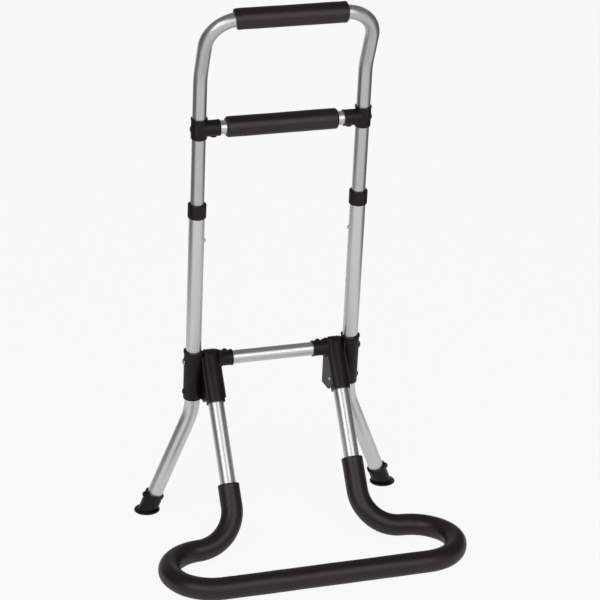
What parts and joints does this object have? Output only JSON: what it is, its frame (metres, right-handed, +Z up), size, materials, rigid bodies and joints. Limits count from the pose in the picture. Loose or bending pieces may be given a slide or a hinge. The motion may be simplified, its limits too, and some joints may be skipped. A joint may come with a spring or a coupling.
{
  "type": "couch standing aid",
  "caption": "Folding couch standing aid: leaning uprights with a height-adjustable padded handle, splayed rear legs and a padded floor loop that goes under the couch.",
  "frame": {"origin": "middle of the footprint's bounding box, on the floor", "axes": "+Z up; -Y towards the user's side, where the floor loop lies and the handle leans; +X to the right seen from the loop's side"},
  "size_m": [0.508, 0.3859, 0.8874],
  "materials": {
    "tube_aluminium": "satin anodised",
    "front_tube_aluminium": "satin anodised",
    "black_moulding": "fine moulded grain",
    "black_foam": "closed-cell foam with a soft sheen",
    "foot_rubber": "moulded rubber, slightly glossy",
    "bright_steel": "zinc plated",
    "black_steel": "black oxide",
    "bush_plastic": "natural nylon"
  },
  "bodies": {
    "rear_frame": {"upright_tube_left": "tube_aluminium", "upright_tube_right": "tube_aluminium", "rear_foot_left": "foot_rubber", "rear_foot_right": "foot_rubber", "foot_screw_left": "black_steel", "foot_screw_right": "black_steel", "height_collar_left": "black_moulding", "height_collar_right": "black_moulding", "hub_bracket_left": "black_moulding", "hub_bracket_right": "black_moulding", "bracket_screw_left": "black_steel", "bracket_screw_right": "black_steel", "pivot_bush_left": "bush_plastic", "pivot_bush_right": "bush_plastic"},
    "front_frame": {"front_loop_tube": "front_tube_aluminium", "loop_foam": "black_foam", "cross_tube": "front_tube_aluminium", "leg_sleeve_left": "black_moulding", "leg_sleeve_right": "black_moulding", "pivot_bolt_left": "bright_steel", "pivot_bolt_right": "black_steel", "pivot_nut_left": "bright_steel", "pivot_nut_right": "bright_steel", "cross_screw_left": "black_steel", "cross_screw_right": "black_steel"},
    "handle": {"handle_tube": "tube_aluminium", "lower_grip_tube": "front_tube_aluminium", "lower_grip_foam": "black_foam", "top_grip_foam": "black_foam", "grip_tee_left": "black_moulding", "grip_tee_right": "black_moulding", "tee_screw_left": "black_steel", "tee_screw_right": "black_steel", "grip_screw_left": "black_steel", "grip_screw_right": "black_steel"},
    "height_button_left": {"height_snap_clip_left": "bright_steel"},
    "height_button_right": {"height_snap_clip_right": "bright_steel"},
    "lock_button_left": {"lock_snap_clip_left": "bright_steel"},
    "lock_button_right": {"lock_snap_clip_right": "bright_steel"}
  },
  "joints": [
    {"name": "fold", "type": "hinge", "parent": "rear_frame", "child": "front_frame", "pos_m": [0, 0.13825, 0.2745], "axis": [-1, 0, 0], "range_deg": [0, 116], "deforming": ["lock_snap_clip_left", "lock_snap_clip_right"]},
    {"name": "handle_height", "type": "slide", "parent": "rear_frame", "child": "handle", "axis": [0, -0.1238, 0.9923], "range_m": [-0.096, 0.032], "deforming": ["height_snap_clip_left", "height_snap_clip_right"]},
    {"name": "height_press_left", "type": "slide", "parent": "handle", "child": "height_button_left", "axis": [-1, 0, 0], "range_m": [0, 0.0042], "stiffness_N_per_m": 600, "springref_m": -0.003},
    {"name": "height_press_right", "type": "slide", "parent": "handle", "child": "height_button_right", "axis": [1, 0, 0], "range_m": [0, 0.0042], "stiffness_N_per_m": 600, "springref_m": -0.003},
    {"name": "lock_press_left", "type": "slide", "parent": "front_frame", "child": "lock_button_left", "axis": [-1, 0, 0], "range_m": [0, 0.0042], "stiffness_N_per_m": 600, "springref_m": -0.003},
    {"name": "lock_press_right", "type": "slide", "parent": "front_frame", "child": "lock_button_right", "axis": [1, 0, 0], "range_m": [0, 0.0042], "stiffness_N_per_m": 600, "springref_m": -0.003}
  ]
}
